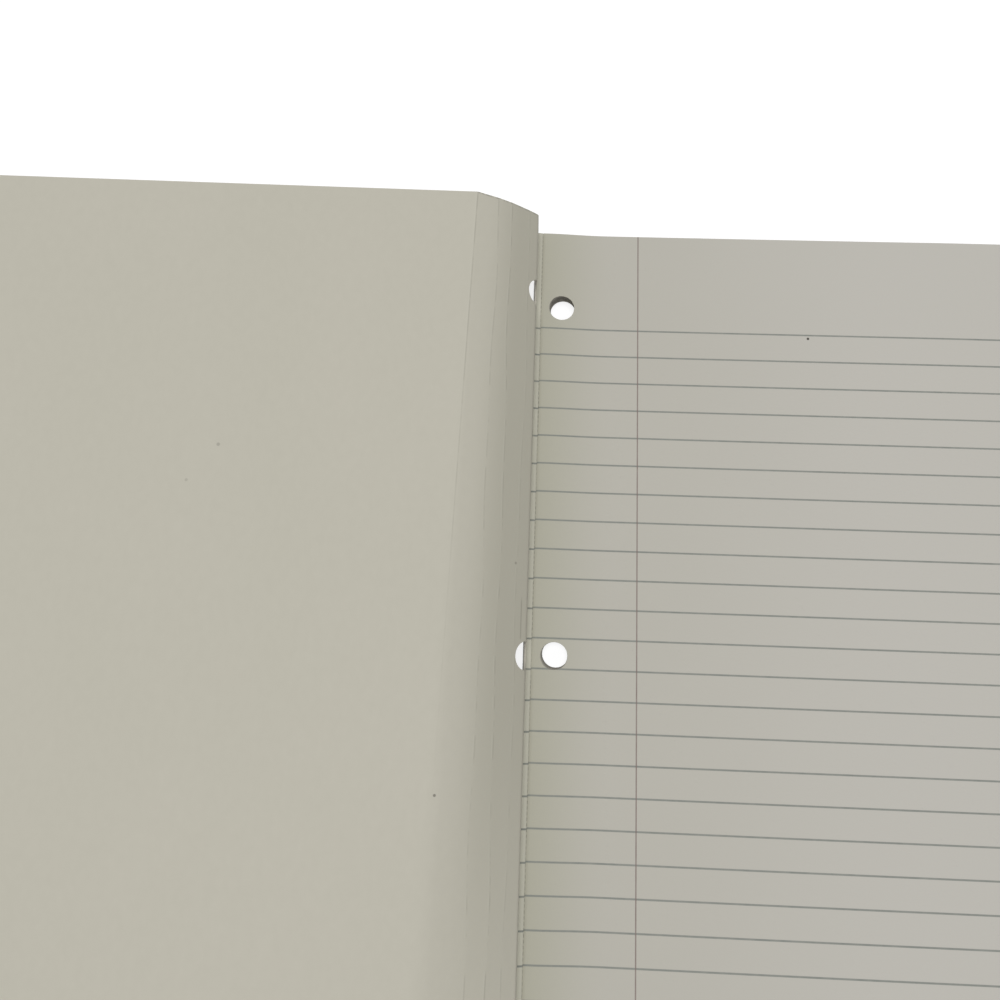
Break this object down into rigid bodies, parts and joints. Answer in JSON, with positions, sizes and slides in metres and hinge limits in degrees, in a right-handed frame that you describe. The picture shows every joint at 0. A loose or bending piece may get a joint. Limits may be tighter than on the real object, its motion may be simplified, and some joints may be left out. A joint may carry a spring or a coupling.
{
  "type": "notebook",
  "caption": "Glue-bound ruled notebook with punched leaves, lying open at its first leaf with its card cover folded back.",
  "frame": {"origin": "axis of the middle punched hole, at the underside of the back cover", "axes": "+X across the leaves from the spine towards the fore-edge, +Y up the leaves from tail to head, +Z out of the open page"},
  "size_m": [0.3974, 0.2674, 0.0368],
  "materials": {
    "leaves": "matte, ruled",
    "card": "smooth card, matte",
    "glue": "satin"
  },
  "bodies": {
    "leaves": {"page_block": "leaves", "binding_glue": "glue", "spine_wrap": "card"},
    "hinge_strip": {"hinge_strip": "card"},
    "fold_strip": {"fold_strip": "card"},
    "front_cover": {"front_cover": "card"},
    "back_cover": {"back_cover": "card"}
  },
  "joints": [
    {"name": "gutter_fold", "type": "hinge", "parent": "leaves", "child": "hinge_strip", "pos_m": [-0.0085, 0, 0.0061], "axis": [0, 1, 0], "range_deg": [-4.8, 90.34]},
    {"name": "hole_fold", "type": "hinge", "parent": "hinge_strip", "child": "fold_strip", "pos_m": [-0.0085, 0, 0.0158], "axis": [0, 1, 0], "range_deg": [-3.09, 58.01]},
    {"name": "crease_fold", "type": "hinge", "parent": "fold_strip", "child": "front_cover", "pos_m": [-0.03, 0, 0.02923], "axis": [0.0257, 0.9995, -0.0161], "range_deg": [-1.62, 30.31]},
    {"name": "back_cover_fold", "type": "hinge", "parent": "leaves", "child": "back_cover", "pos_m": [-0.0085, 0, 0], "axis": [0, 1, 0], "range_deg": [0, 180]}
  ],
  "couplings": [
    {"joint": "hole_fold", "follows": "gutter_fold", "ratio": 0.64205},
    {"joint": "crease_fold", "follows": "gutter_fold", "ratio": 0.33542}
  ]
}
